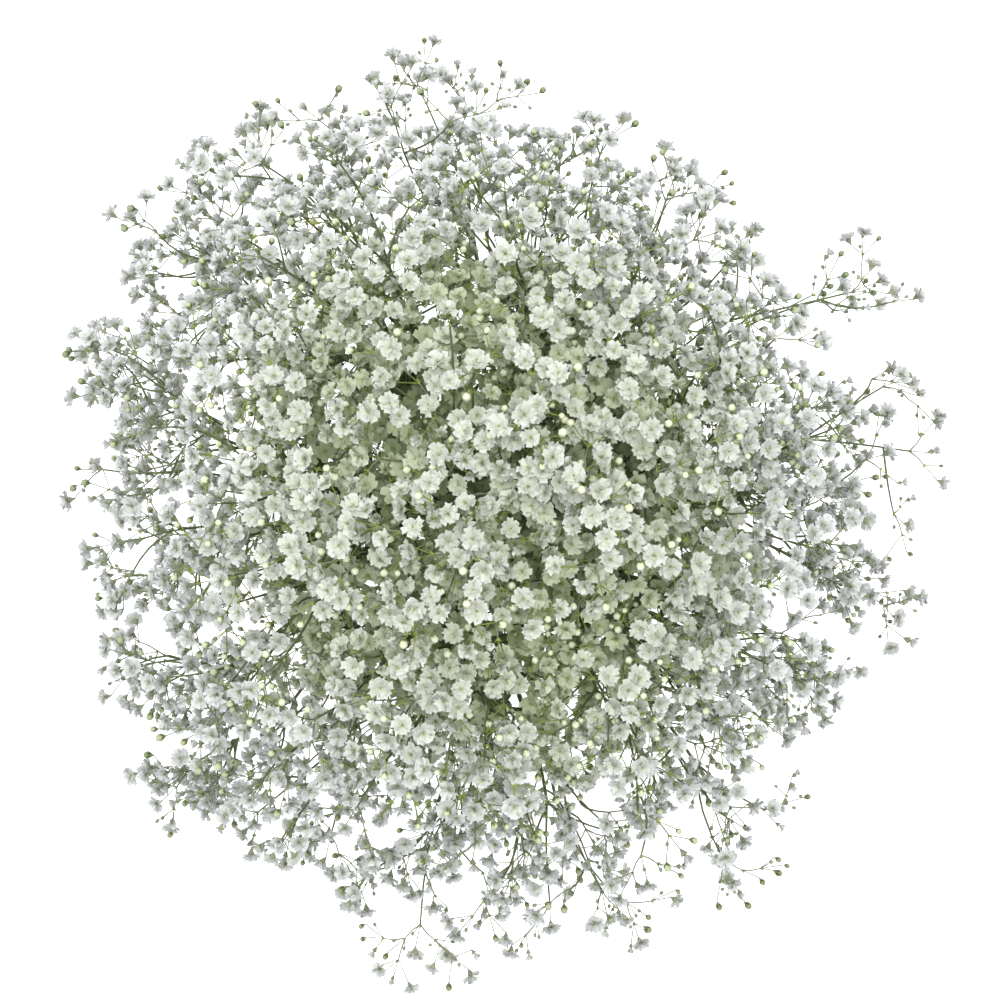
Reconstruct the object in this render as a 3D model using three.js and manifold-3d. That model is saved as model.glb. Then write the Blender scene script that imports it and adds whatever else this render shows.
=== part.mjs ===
// A bunch of double gypsophila (baby's breath): fifteen flowering stems laid in a spiral, bound
// once with twine and cut level, so that the splayed ends carry the bunch upright.
// Millimetres, +Z up. The origin is on the ground, under the middle of the head's width and depth.
import * as THREE from "three";
import { mergeVertices } from "three/addons/utils/BufferGeometryUtils.js";
import Module from "manifold-3d";

const wasm = await Module();
wasm.setup();

// ---- Driving dimensions ----

// The stalks cross at a point a little to one side of the middle, because the head reaches out
// unevenly. Here is that axis, and the height of the waist where the twine binds it.
const AXIS_X = -6.8;
const AXIS_Y = 10.1;
const WAIST_HEIGHT = 150;
const STALK_RADIUS = 2.0;
const STALK_SIDES = 6;

// The spiral: each ring of stalks is a set of straight lines on a hyperboloid, so none meets another.
const CENTRE_STEMS = { count: 1, waistRadius: 0, lean: 0, swing: 0 };
const INNER_STEMS = { count: 6, waistRadius: 4.4, lean: 0.2, swing: 75 };
const OUTER_STEMS = { count: 8, waistRadius: 8.7, lean: 0.45, swing: 80 };
const STRAIGHT_ABOVE_WAIST = 35;

// The head is a dome round this centre. It reaches out by a different distance all the way round.
const HEAD_CENTRE = new THREE.Vector3(0, 0, 255);
const HEAD_RISE = 136;
const REACH_STEP = 22.5;
const HEAD_REACH = [
  146, 158, 146, 150, 154, 166, 178, 170, 160, 162, 176, 170, 176, 178, 162, 154,
];

// Each ring of stems fills one band of the dome, measured from straight up, in degrees.
const CENTRE_BAND = { top: 0, bottom: 24, innermost: 0.62, sectorMargin: 0, tips: 29 };
const INNER_BAND = { top: 27, bottom: 61, innermost: 0.6, sectorMargin: 2.6, tips: 27 };
const OUTER_BAND = { top: 65, bottom: 101, innermost: 0.52, sectorMargin: 2.2, tips: 25 };

// The longest sprays, which stand out past the dome: direction, distance from the middle, height.
const LONG_SPRAYS = [
  { azimuth: 5, reach: 176, height: 262 },
  { azimuth: 16, reach: 174, height: 246 },
  { azimuth: 29, reach: 172, height: 268 },
  { azimuth: 94, reach: 164, height: 262 },
  { azimuth: 102, reach: 174, height: 250 },
  { azimuth: 115, reach: 172, height: 262 },
  { azimuth: 138, reach: 176, height: 248 },
  { azimuth: 165, reach: 168, height: 262 },
  { azimuth: 206, reach: 168, height: 250 },
  { azimuth: 232, reach: 176, height: 262 },
  { azimuth: 244, reach: 172, height: 244 },
  { azimuth: 259, reach: 192, height: 256 },
  { azimuth: 276, reach: 180, height: 262 },
  { azimuth: 285, reach: 182, height: 246 },
  { azimuth: 300, reach: 186, height: 258 },
  { azimuth: 309, reach: 180, height: 244 },
  { azimuth: 344, reach: 166, height: 256 },
];

// Branches.
const FORK_AT = 0.44;
const FIRST_FORK_AT = 0.4;
const THREE_WAY_FROM = 6;
const TWIG_RADIUS = 0.55;
const TAPER_POWER = 0.38;
const CROTCH_RISE = 0.4;
const UNEVEN_CORNERS = 0.9;

// How far a tip keeps from the others and from every branch but its own, and how many times the
// tips are eased apart until they do.
const TIP_SPACING = 20.5;
const BRANCH_SPACING = 11.4;
const EASING_ROUNDS = 60;
const EASING_SHARE = 0.5;

// Blooms are drawn at about twice their size in life, one for each small cluster, so that they
// cover the dome as the clusters do. Buds keep their size in life.
const BLOOM_RADIUS = 9;
const BLOOM_HEIGHT = 6.6;
const BUD_RADIUS = 2.1;
const BUD_LENGTH = 4.6;
const BUD_EVERY = 5;

// Leaves at the forks: narrow, keeled, pointed.
const LEAF_LENGTH = 24;
const LEAF_WIDTH = 3.6;
const LEAF_KEEL = 0.8;
const LEAF_FROM_TIPS = 4;

// The twine.
const TWINE_RADIUS = 1.1;
const TWINE_TURNS = 4;
const TIE_CLEARANCE = 0.35;
const TIE_SEGMENTS = 20;
const KNOT_RADIUS = 2.7;
const TWINE_END_LENGTH = 26;

const SEED = 5021;

// ---- Materials ----

const greenStem = new THREE.MeshStandardMaterial({ color: 0x8fa173, roughness: 0.65, metalness: 0 });
const twine = new THREE.MeshStandardMaterial({ color: 0xb39a6c, roughness: 0.9, metalness: 0 });

// ---- Numbers ----

const radians = THREE.MathUtils.degToRad;

function seededRandom(seed) {
  let state = seed;
  return () => {
    state = (state * 48271) % 2147483647;
    return state / 2147483647;
  };
}

// The fractional part of an evenly spreading sequence.
function spread(index, step) {
  return (0.5 + index * step) % 1;
}

function polarPoint(azimuth, radius, height) {
  const a = radians(azimuth);
  return new THREE.Vector3(radius * Math.cos(a), radius * Math.sin(a), height);
}

// The distance that the dome reaches out in one direction, smoothly between the listed ones.
function reachAt(azimuth) {
  const at = (((azimuth % 360) + 360) % 360) / REACH_STEP;
  const low = Math.floor(at);
  const blend = (1 - Math.cos((at - low) * Math.PI)) / 2;
  const before = HEAD_REACH[low % HEAD_REACH.length];
  const after = HEAD_REACH[(low + 1) % HEAD_REACH.length];
  return before + (after - before) * blend;
}

// ---- A mesh that is grown from ring to ring ----

class GrownMesh {
  constructor() {
    this.points = [];
    this.triangles = [];
  }

  point(position) {
    this.points.push(position);
    return this.points.length - 1;
  }

  // A ring of points round an axis, counter-clockwise as seen from the side it grows towards.
  ring(centre, axis, radius, angles) {
    const [across, along] = frameAcross(axis);
    return angles.map((angle) =>
      this.point(
        centre
          .clone()
          .addScaledVector(across, radius * Math.cos(angle))
          .addScaledVector(along, radius * Math.sin(angle)),
      ),
    );
  }

  // The wall between two rings, which may have different numbers of points. Of the ways to turn
  // one ring against the other, it takes the one with the shortest rungs, so no rungs cross.
  bridge(lower, upper) {
    const ways = upper.map((_, shift) =>
      this.wall(lower, [...upper.slice(shift), ...upper.slice(0, shift)]),
    );
    const shortest = ways.reduce((best, way) => (way.rungs < best.rungs - 1e-9 ? way : best));
    this.triangles.push(...shortest.triangles);
  }

  wall(lower, upper) {
    const triangles = [];
    let rungs = 0;
    let i = 0;
    let j = 0;
    while (i < lower.length || j < upper.length) {
      const low = lower[i % lower.length];
      const high = upper[j % upper.length];
      rungs += this.points[low].distanceToSquared(this.points[high]);
      if (i < lower.length && (j >= upper.length || (i + 1) * upper.length <= (j + 1) * lower.length)) {
        i += 1;
        triangles.push(low, lower[i % lower.length], high);
      } else {
        j += 1;
        triangles.push(low, upper[j % upper.length], high);
      }
    }
    return { triangles, rungs };
  }

  // The cone that closes a ring.
  fan(ring, apex) {
    ring.forEach((a, i) => this.triangles.push(a, ring[(i + 1) % ring.length], apex));
  }

  geometry() {
    const made = new THREE.BufferGeometry();
    const flat = this.points.flatMap((p) => [p.x, p.y, p.z]);
    made.setAttribute("position", new THREE.Float32BufferAttribute(flat, 3));
    made.setIndex(this.triangles);
    made.computeVertexNormals();
    return made;
  }
}

// Two directions square to an axis and to each other, right-handed with it.
function frameAcross(axis) {
  const helper = Math.abs(axis.z) < 0.9 ? new THREE.Vector3(0, 0, 1) : new THREE.Vector3(1, 0, 0);
  const across = helper.clone().cross(axis).normalize();
  const along = axis.clone().cross(across);
  return [across, along];
}

function angleAcross(direction, axis) {
  const [across, along] = frameAcross(axis);
  return Math.atan2(direction.dot(along), direction.dot(across));
}

// Angles spaced evenly all the way round.
function evenAngles(count, phase) {
  return Array.from({ length: count }, (_, i) => phase + (2 * Math.PI * i) / count);
}

// How far round, counter-clockwise, one angle is from another, under a full turn.
function turnBetween(from, to) {
  const turn = (to - from) % (2 * Math.PI);
  return turn < 0 ? turn + 2 * Math.PI : turn;
}

// The mean of a set of angles.
function meanAngle(angles) {
  const y = angles.reduce((sum, a) => sum + Math.sin(a), 0);
  const x = angles.reduce((sum, a) => sum + Math.cos(a), 0);
  return Math.atan2(y, x);
}

// ---- Where the blooms are ----

// The tips of one stem, spread evenly through its share of the dome.
function tipsOfStem(band, sector, index) {
  const topCos = Math.cos(radians(band.top));
  const bottomCos = Math.cos(radians(band.bottom));
  const tips = [];
  for (let i = 0; i < band.tips; i++) {
    const turn = spread(i + index * band.tips, 0.8191725134);
    const drop = spread(i + index * band.tips, 0.6710436067);
    const depth = spread(i + index * band.tips, 0.5497004779);
    const azimuth = sector.from + (sector.to - sector.from) * turn;
    const cosPolar = topCos + (bottomCos - topCos) * drop;
    const sinPolar = Math.sqrt(1 - cosPolar * cosPolar);
    const out = band.innermost + (1 - band.innermost) * depth;
    tips.push(
      polarPoint(
        azimuth,
        out * sinPolar * reachAt(azimuth),
        HEAD_CENTRE.z + out * cosPolar * HEAD_RISE,
      ),
    );
  }
  return tips;
}

function longSpraysIn(sector) {
  return LONG_SPRAYS.filter(({ azimuth }) => {
    const turned = (((azimuth - sector.from) % 360) + 360) % 360;
    return turned < sector.to - sector.from;
  }).map(({ azimuth, reach, height }) => polarPoint(azimuth, reach, height));
}

// ---- How a stem branches ----

function centroid(points) {
  const sum = new THREE.Vector3();
  points.forEach((p) => sum.add(p));
  return sum.divideScalar(points.length);
}

// Sorts the tips along the direction in which they lie widest, seen along the branch.
function sortedAcross(tips, axis) {
  const [across, along] = frameAcross(axis);
  const middle = centroid(tips);
  let xx = 0;
  let yy = 0;
  let xy = 0;
  tips.forEach((tip) => {
    const from = tip.clone().sub(middle);
    const x = from.dot(across);
    const y = from.dot(along);
    xx += x * x;
    yy += y * y;
    xy += x * y;
  });
  const angle = 0.5 * Math.atan2(2 * xy, xx - yy);
  const widest = across
    .clone()
    .multiplyScalar(Math.cos(angle))
    .addScaledVector(along, Math.sin(angle));
  return [...tips].sort((a, b) => a.dot(widest) - b.dot(widest));
}

// Divides the tips of a branch among the branches that fork from it.
function dividedTips(tips, axis, random) {
  const sorted = sortedAcross(tips, axis);
  if (tips.length >= THREE_WAY_FROM || tips.length === 3) {
    const first = Math.round(tips.length / 3);
    const second = Math.round((2 * tips.length) / 3);
    return [sorted.slice(0, first), sorted.slice(first, second), sorted.slice(second)];
  }
  const cut = random() < 0.5 ? Math.floor(tips.length / 2) : Math.ceil(tips.length / 2);
  return [sorted.slice(0, cut), sorted.slice(cut)];
}

// The branches above one point: { at, tips, branches }, where a bloom or bud has no branches.
function branching(start, tips, forkAt, random) {
  if (tips.length === 1) return { at: tips[0], tips: 1, branches: [] };
  const middle = centroid(tips);
  const at = start.clone().lerp(middle, forkAt);
  const groups = dividedTips(tips, middle.clone().sub(start).normalize(), random);
  return {
    at,
    tips: tips.length,
    branches: groups.map((group) => branching(at, group, FORK_AT, random)),
  };
}

// ---- A bloom, a bud and a leaf, each grown from the ring at its foot ----

function growBloom(mesh, foot, centre, axis, phase) {
  const outer = [];
  const [across, along] = frameAcross(axis);
  const place = (radius, angle, height) =>
    mesh.point(
      centre
        .clone()
        .addScaledVector(across, radius * Math.cos(angle))
        .addScaledVector(along, radius * Math.sin(angle))
        .addScaledVector(axis, height),
    );
  for (let petal = 0; petal < 5; petal++) {
    const angle = phase + (2 * Math.PI * petal) / 5;
    outer.push(place(BLOOM_RADIUS, angle, 0.5 * BLOOM_HEIGHT));
    outer.push(place(0.56 * BLOOM_RADIUS, angle + Math.PI / 5, 0.36 * BLOOM_HEIGHT));
  }
  const inner = [];
  for (let petal = 0; petal < 5; petal++) {
    const angle = phase + (2 * Math.PI * (petal + 0.5)) / 5;
    inner.push(place(0.5 * BLOOM_RADIUS, angle, BLOOM_HEIGHT));
  }
  const eye = mesh.point(centre.clone().addScaledVector(axis, 0.66 * BLOOM_HEIGHT));
  mesh.bridge(foot, outer);
  mesh.bridge(outer, inner);
  mesh.fan(inner, eye);
}

function growBud(mesh, foot, centre, axis, phase) {
  const belly = centre.clone().addScaledVector(axis, 0.45 * BUD_LENGTH);
  const ring = mesh.ring(belly, axis, BUD_RADIUS, evenAngles(5, phase));
  mesh.bridge(foot, ring);
  mesh.fan(ring, mesh.point(centre.clone().addScaledVector(axis, BUD_LENGTH)));
}

function growLeaf(mesh, foot, start, axis, length) {
  const [across, along] = frameAcross(axis);
  const phase = angleAcross(mesh.points[foot[0]].clone().sub(start), axis);
  const middle = start.clone().addScaledVector(axis, 0.4 * length);
  const widen = (angle, size) =>
    mesh.point(
      middle
        .clone()
        .addScaledVector(across, size * Math.cos(angle))
        .addScaledVector(along, size * Math.sin(angle)),
    );
  const turn = (2 * Math.PI) / 3;
  const keelAngle = phase + 2 * turn;
  const sideAngle = keelAngle + Math.PI / 2;
  const blade = [
    widen(sideAngle, LEAF_WIDTH / 2),
    widen(sideAngle + Math.PI, LEAF_WIDTH / 2),
    widen(keelAngle, LEAF_KEEL),
  ];
  const ordered = isCounterClockwise(mesh, blade, axis) ? blade : [blade[1], blade[0], blade[2]];
  mesh.bridge(foot, ordered);
  mesh.fan(ordered, mesh.point(start.clone().addScaledVector(axis, length)));
}

function isCounterClockwise(mesh, ring, axis) {
  const [a, b, c] = ring.map((i) => mesh.points[i]);
  return b.clone().sub(a).cross(c.clone().sub(a)).dot(axis) > 0;
}

// ---- A stem ----

// The growth above a ring: a fork with one branch on each side, or a bloom or a bud.
function growBranch(mesh, foot, from, branch, state) {
  const axis = branch.at.clone().sub(from).normalize();
  const radius = TWIG_RADIUS * branch.tips ** TAPER_POWER;
  if (!branch.branches.length) {
    state.tipCount += 1;
    const facing = axis.clone().lerp(outward(branch.at), 0.5).normalize();
    const isBud = state.tipCount % BUD_EVERY === 0;
    const size = isBud ? BUD_LENGTH : BLOOM_HEIGHT;
    const centre = branch.at.clone().addScaledVector(facing, -0.5 * size);
    const neck = centroid([centre, centre.clone().addScaledVector(axis, -2 * radius)]);
    const ring = mesh.ring(neck, axis, radius, evenAngles(3, 0));
    mesh.bridge(foot, ring);
    const phase = angleAcross(mesh.points[ring[0]].clone().sub(neck), facing);
    if (isBud) growBud(mesh, ring, centre, facing, phase);
    else growBloom(mesh, ring, centre, facing, phase);
    return;
  }
  const leafAngle = leafOnFork(branch, axis);
  const { order, corners } = forkSides(branch, axis, leafAngle);
  const ringCentre = branch.at.clone().addScaledVector(axis, -radius);
  const ring = mesh.ring(ringCentre, axis, radius, corners);
  mesh.bridge(foot, ring);
  const crotch = mesh.point(branch.at.clone().addScaledVector(axis, CROTCH_RISE * radius));
  order.forEach((child, side) => {
    const start = [ring[side], ring[(side + 1) % 3], crotch];
    if (child === undefined) mesh.triangles.push(...start);
    else if (child === "leaf") {
      const middle = centroid(start.map((i) => mesh.points[i]));
      const lean = outward(branch.at).multiplyScalar(0.4).add(sideDirection(axis, leafAngle));
      const length = LEAF_LENGTH * Math.min(1, branch.tips / (2 * LEAF_FROM_TIPS));
      growLeaf(mesh, start, middle, lean.addScaledVector(axis, 0.5).normalize(), length);
    } else growBranch(mesh, start, branch.at, child, state);
  });
}

function outward(point) {
  return point.clone().sub(HEAD_CENTRE).normalize();
}

function sideDirection(axis, angle) {
  const [across, along] = frameAcross(axis);
  return across
    .multiplyScalar(Math.cos(angle))
    .addScaledVector(along, Math.sin(angle));
}

// A fork of two strong branches has a leaf between them, on the side that faces outward.
function leafOnFork(branch, axis) {
  if (branch.branches.length !== 2 || branch.tips < LEAF_FROM_TIPS) return undefined;
  const [a, b] = branch.branches.map(({ at }) => at.clone().sub(branch.at));
  const plane = a.cross(b);
  if (plane.dot(outward(branch.at)) < 0) plane.negate();
  return angleAcross(plane, axis);
}

// Which branch leaves each side of a three-sided ring, and the angles of that ring's corners.
// A corner lies midway between two branches, so that they part there without crossing.
function forkSides(branch, axis, leafAngle) {
  const leaving = branch.branches.map((child) => ({
    child,
    angle: angleAcross(child.at.clone().sub(branch.at), axis),
  }));
  if (leafAngle !== undefined) leaving.push({ child: "leaf", angle: leafAngle });
  if (leaving.length === 2) {
    const opposite = meanAngle(leaving.map(({ angle }) => angle)) + Math.PI;
    leaving.push({ child: undefined, angle: opposite });
  }
  leaving.sort((a, b) => turnBetween(0, a.angle) - turnBetween(0, b.angle));
  if (branch.branches.length === 3) centreStraightest(leaving, branch.at, axis);
  const midway = leaving.map(({ angle }, side) => {
    const before = leaving[(side + 2) % 3].angle;
    return before + turnBetween(before, angle) / 2;
  });
  return { order: leaving.map(({ child }) => child), corners: spacedCorners(midway) };
}

// The straightest of three branches leaves from the middle of the gap between the other two.
function centreStraightest(leaving, fork, axis) {
  const lean = ({ child }) => child.at.clone().sub(fork).normalize().dot(axis);
  const straightest = leaving.reduce((a, b) => (lean(b) > lean(a) ? b : a));
  const place = leaving.indexOf(straightest);
  const before = leaving[(place + 2) % 3].angle;
  const after = leaving[(place + 1) % 3].angle;
  straightest.angle = before + turnBetween(before, after) / 2;
}

// Three corners brought nearer to even spacing, so that none of the ring's sides is too short.
function spacedCorners(corners) {
  const even = (2 * Math.PI) / 3;
  const gaps = corners.map((corner, i) => turnBetween(corner, corners[(i + 1) % 3]));
  const widest = Math.max(...gaps.map((gap) => Math.abs(gap - even)));
  const keep = Math.min(1, UNEVEN_CORNERS / Math.max(widest, 1e-9));
  const eased = gaps.map((gap) => even + (gap - even) * keep);
  const steps = [0, eased[0], eased[0] + eased[1]];
  const phase = meanAngle(corners.map((corner, i) => corner - steps[i]));
  return steps.map((step) => phase + step);
}

// The first fork: the six-sided stalk divides into three.
function growFirstFork(mesh, foot, from, branch, state) {
  const axis = branch.at.clone().sub(from).normalize();
  const { order, corners } = forkSides(branch, axis, undefined);
  const angles = corners.flatMap((corner, i) => [
    corner,
    corner + turnBetween(corner, corners[(i + 1) % 3]) / 2,
  ]);
  const ringCentre = branch.at.clone().addScaledVector(axis, -STALK_RADIUS);
  const ring = mesh.ring(ringCentre, axis, STALK_RADIUS, angles);
  mesh.bridge(foot, ring);
  const crotch = mesh.point(branch.at.clone().addScaledVector(axis, CROTCH_RISE * STALK_RADIUS));
  order.forEach((child, side) => {
    const first = 2 * side;
    const start = [ring[first], ring[first + 1], ring[(first + 2) % 6], crotch];
    growBranch(mesh, start, branch.at, child, state);
  });
}

// A stem before it grows: its stalk's straight part, its share of the dome and its tips.
function plannedStem(name, ring, band, azimuth, index) {
  const waistAngle = azimuth - ring.swing;
  const waist = polarPoint(waistAngle, ring.waistRadius, WAIST_HEIGHT);
  const slope = polarPoint(waistAngle + 90, ring.lean, 1);
  const foot = waist.clone().addScaledVector(slope, -WAIST_HEIGHT);
  const bend = waist.clone().addScaledVector(slope, STRAIGHT_ABOVE_WAIST);
  const half = 180 / ring.count;
  const margin = band.sectorMargin;
  const sector = { from: azimuth - half, to: azimuth + half };
  const inside = { from: sector.from + margin, to: sector.to - margin };
  const tips = tipsOfStem(band, inside, index);
  if (ring === OUTER_STEMS) tips.push(...longSpraysIn(sector));
  return { name, index, foot, waist, bend, slope, tips };
}

function branchingOf(stem) {
  return branching(stem.bend, stem.tips, FIRST_FORK_AT, seededRandom(SEED + stem.index));
}

// Every branch of a stem as a line from fork to fork, or from fork to tip.
function branchLines(from, branch) {
  const own = { from, to: branch.at };
  return [own, ...branch.branches.flatMap((child) => branchLines(branch.at, child))];
}

// The move that takes a point away from another, where they are closer than the spacing.
function moveAway(point, other, spacing) {
  const apart = point.clone().sub(other);
  const distance = apart.length();
  const short = Math.max(0, spacing - distance);
  return apart.multiplyScalar((EASING_SHARE * short) / Math.max(distance, 1e-9));
}

// Eases the tips of all the stems apart, so that no bloom meets a bloom or another branch.
function easeTips(stems) {
  const tips = stems.flatMap((stem) => stem.tips);
  const nearest = new THREE.Vector3();
  for (let round = 0; round < EASING_ROUNDS; round++) {
    const lines = stems.flatMap((stem) => branchLines(stem.bend, branchingOf(stem)));
    const moves = tips.map((tip) => {
      const move = new THREE.Vector3();
      tips.forEach((other) => {
        if (other !== tip) move.add(moveAway(tip, other, TIP_SPACING));
      });
      lines.forEach(({ from, to }) => {
        if (to === tip) return;
        new THREE.Line3(from, to).closestPointToPoint(tip, true, nearest);
        move.add(moveAway(tip, nearest, BRANCH_SPACING));
      });
      return move;
    });
    tips.forEach((tip, i) => tip.add(moves[i]));
  }
}

// The line of a stalk: straight through the waist, then bending out towards its first fork.
function stalkLine({ foot, waist, bend, slope }, fork) {
  const towards = bend
    .clone()
    .addScaledVector(slope.clone().normalize(), 0.45 * bend.distanceTo(fork));
  const curve = new THREE.QuadraticBezierCurve3(bend, towards, fork);
  return [foot, waist, ...curve.getPoints(4)];
}

function growStalk(mesh, line) {
  let below;
  line.slice(0, -1).forEach((point, i) => {
    const before = line[Math.max(i - 1, 0)];
    const axis = line[i + 1].clone().sub(before).normalize();
    const ring = mesh.ring(point, axis, STALK_RADIUS, evenAngles(STALK_SIDES, 0));
    if (i === 0) {
      ring.forEach((index) => cutLevel(mesh.points[index], axis));
      const middle = mesh.point(point.clone());
      mesh.fan([...ring].reverse(), middle);
    } else mesh.bridge(below, ring);
    below = ring;
  });
  return below;
}

// Slides a point of the lowest ring along the stalk until it is on the ground.
function cutLevel(point, axis) {
  point.addScaledVector(axis, -point.z / axis.z);
}

function stemMesh(stem) {
  const tree = branchingOf(stem);
  const line = stalkLine(stem, tree.at);
  const mesh = new GrownMesh();
  const top = growStalk(mesh, line);
  growFirstFork(mesh, top, line.at(-2), tree, { tipCount: stem.index });
  const made = new THREE.Mesh(mesh.geometry(), greenStem);
  made.name = stem.name;
  return made;
}

// ---- The twine ----

function solidOf(geometry) {
  const bare = geometry.clone();
  bare.deleteAttribute("normal");
  bare.deleteAttribute("uv");
  const merged = mergeVertices(bare, 1e-4);
  return new wasm.Manifold(
    new wasm.Mesh({
      numProp: 3,
      vertProperties: merged.attributes.position.array,
      triVerts: new Uint32Array(merged.index.array),
    }),
  );
}

function geometryOf(solid) {
  const mesh = solid.getMesh();
  const geometry = new THREE.BufferGeometry();
  geometry.setAttribute("position", new THREE.BufferAttribute(mesh.vertProperties, 3));
  geometry.setIndex(new THREE.BufferAttribute(mesh.triVerts, 1));
  geometry.computeVertexNormals();
  return geometry;
}

// A round cord along a curve.
function cordGeometry(curve, steps) {
  const section = new THREE.Shape().absarc(0, 0, TWINE_RADIUS, 0, 2 * Math.PI);
  return new THREE.ExtrudeGeometry(section, { steps, curveSegments: 3, extrudePath: curve });
}

// The wound turns, the knot and the two cut ends, as one piece.
function tieMesh() {
  const bandHalf = TWINE_TURNS * TWINE_RADIUS;
  const widest = Math.hypot(OUTER_STEMS.waistRadius, OUTER_STEMS.lean * bandHalf);
  const inside = widest + STALK_RADIUS + TIE_CLEARANCE;
  const profile = [new THREE.Vector2(inside, -bandHalf)];
  for (let turn = 0; turn < TWINE_TURNS; turn++) {
    const middle = -bandHalf + (2 * turn + 1) * TWINE_RADIUS;
    [-60, 0, 60].forEach((degrees) => {
      const a = radians(degrees);
      const out = inside + TWINE_RADIUS * (1 + Math.cos(a));
      profile.push(new THREE.Vector2(out, middle + TWINE_RADIUS * Math.sin(a)));
    });
  }
  profile.push(new THREE.Vector2(inside, bandHalf), profile[0].clone());
  const band = new THREE.LatheGeometry(profile, TIE_SEGMENTS).rotateX(Math.PI / 2);
  const face = inside + 2 * TWINE_RADIUS;
  const knot = new THREE.IcosahedronGeometry(KNOT_RADIUS, 1)
    .scale(1.15, 0.8, 0.9)
    .translate(0, -face - 0.6, 0);
  let solid = solidOf(band).add(solidOf(knot));
  [-1, 1].forEach((side) => {
    const curve = new THREE.CatmullRomCurve3([
      new THREE.Vector3(0, -face - 0.8, 0),
      new THREE.Vector3(side * 5, -face - 3.6, -1.5),
      new THREE.Vector3(side * 10, -face - 4.6, -8),
      new THREE.Vector3(side * 11.5, -face - 4.2, -TWINE_END_LENGTH * 0.7),
    ]);
    solid = solid.add(solidOf(cordGeometry(curve, 8)));
  });
  const made = new THREE.Mesh(geometryOf(solid), twine);
  made.name = "twine_tie";
  made.position.z = WAIST_HEIGHT;
  return made;
}

// ---- The bunch ----

const bunch = new THREE.Group();
const aroundAxis = new THREE.Group();
aroundAxis.position.set(AXIS_X, AXIS_Y, 0);
bunch.add(aroundAxis);

const rings = [
  { name: "centre_stem", ring: CENTRE_STEMS, band: CENTRE_BAND, firstAzimuth: 0 },
  { name: "inner_stem", ring: INNER_STEMS, band: INNER_BAND, firstAzimuth: 12 },
  { name: "outer_stem", ring: OUTER_STEMS, band: OUTER_BAND, firstAzimuth: 0 },
];
const stems = [];
rings.forEach(({ name, ring, band, firstAzimuth }) => {
  for (let k = 0; k < ring.count; k++) {
    const azimuth = firstAzimuth + (360 * k) / ring.count;
    const label = ring.count === 1 ? name : name + "_" + (k + 1);
    stems.push(plannedStem(label, ring, band, azimuth, stems.length));
  }
});
easeTips(stems);
stems.forEach((stem) => aroundAxis.add(stemMesh(stem)));
aroundAxis.add(tieMesh());

export default bunch;
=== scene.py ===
# A bunch of double gypsophila: fifteen flowering stems laid in a spiral, bound once with twine and
# standing on their cut ends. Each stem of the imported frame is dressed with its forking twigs, its
# flowers and its buds. Sizes are in millimetres, and each finished piece is scaled to metres.
import math
import random

import bmesh
import bpy
import numpy as np
from mathutils import Matrix, Quaternion, Vector
from mathutils.kdtree import KDTree


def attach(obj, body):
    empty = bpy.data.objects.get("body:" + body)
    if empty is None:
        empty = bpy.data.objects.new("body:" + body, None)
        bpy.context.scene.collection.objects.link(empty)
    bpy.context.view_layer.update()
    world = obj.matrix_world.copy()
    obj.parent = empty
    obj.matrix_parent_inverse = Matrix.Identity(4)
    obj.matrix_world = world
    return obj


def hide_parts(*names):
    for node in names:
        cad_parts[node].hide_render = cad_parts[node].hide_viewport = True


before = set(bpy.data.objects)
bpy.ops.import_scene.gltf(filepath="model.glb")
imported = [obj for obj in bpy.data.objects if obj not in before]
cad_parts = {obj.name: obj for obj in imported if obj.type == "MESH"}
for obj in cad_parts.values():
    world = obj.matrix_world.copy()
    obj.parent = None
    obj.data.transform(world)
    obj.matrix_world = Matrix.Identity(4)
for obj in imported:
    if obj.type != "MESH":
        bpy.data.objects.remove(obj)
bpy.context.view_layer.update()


# ---- Where the stems run ----
# Each stem is one grown shoot: a straight stalk through the tie, which then forks again and again
# to fill its share of the head. The forks and tips are found by the rule that its solid grew by,
# so the dressed stem lies on the solid that it replaces.

WAIST_HEIGHT = 150
STRAIGHT_ABOVE_WAIST = 35
HEAD_CENTRE = Vector((0, 0, 255))
HEAD_RISE = 136
# How far out the head reaches, every 22.5 degrees.
REACH_STEP = 22.5
HEAD_REACH = [146, 158, 146, 150, 154, 166, 178, 170, 160, 162, 176, 170, 176, 178, 162, 154]
# The rings of stems: how many, where the first one fills the head, how far out they pass the waist
# and at what slant, how far they swing round from there, the band of the head that they fill in
# degrees from its top, how far out their tips start, their side margin, and the tips on each.
RINGS = [
    {"name": "centre_stem", "count": 1, "first": 0, "waist": 0, "lean": 0, "swing": 0,
     "top": 0, "bottom": 24, "innermost": 0.62, "margin": 0, "tips": 29},
    {"name": "inner_stem", "count": 6, "first": 12, "waist": 4.4, "lean": 0.2, "swing": 75,
     "top": 27, "bottom": 61, "innermost": 0.6, "margin": 2.6, "tips": 27},
    {"name": "outer_stem", "count": 8, "first": 0, "waist": 8.7, "lean": 0.45, "swing": 80,
     "top": 65, "bottom": 101, "innermost": 0.52, "margin": 2.2, "tips": 25},
]
# The longest sprays: direction, distance from the axis, height.
LONG_SPRAYS = [
    (5, 176, 262), (16, 174, 246), (29, 172, 268), (94, 164, 262), (102, 174, 250),
    (115, 172, 262), (138, 176, 248), (165, 168, 262), (206, 168, 250), (232, 176, 262),
    (244, 172, 244), (259, 192, 256), (276, 180, 262), (285, 182, 246), (300, 186, 258),
    (309, 180, 244), (344, 166, 256),
]
# Steps of three sequences that spread places evenly.
AROUND_STEP, RISE_STEP, OUT_STEP = 0.8191725134, 0.6710436067, 0.5497004779
FORK_AT = 0.44
FIRST_FORK_AT = 0.4
THREE_WAY_FROM = 6
TIP_SPACING = 20.5
BRANCH_SPACING = 11.4
EASING_ROUNDS = 60
EASING_SHARE = 0.5
SEED = 5021
DRAW_STEP = 48271
DRAW_LIMIT = 2147483647


def polar(azimuth, radius, height):
    turn = math.radians(azimuth)
    return np.array([radius * math.cos(turn), radius * math.sin(turn), height])


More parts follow.
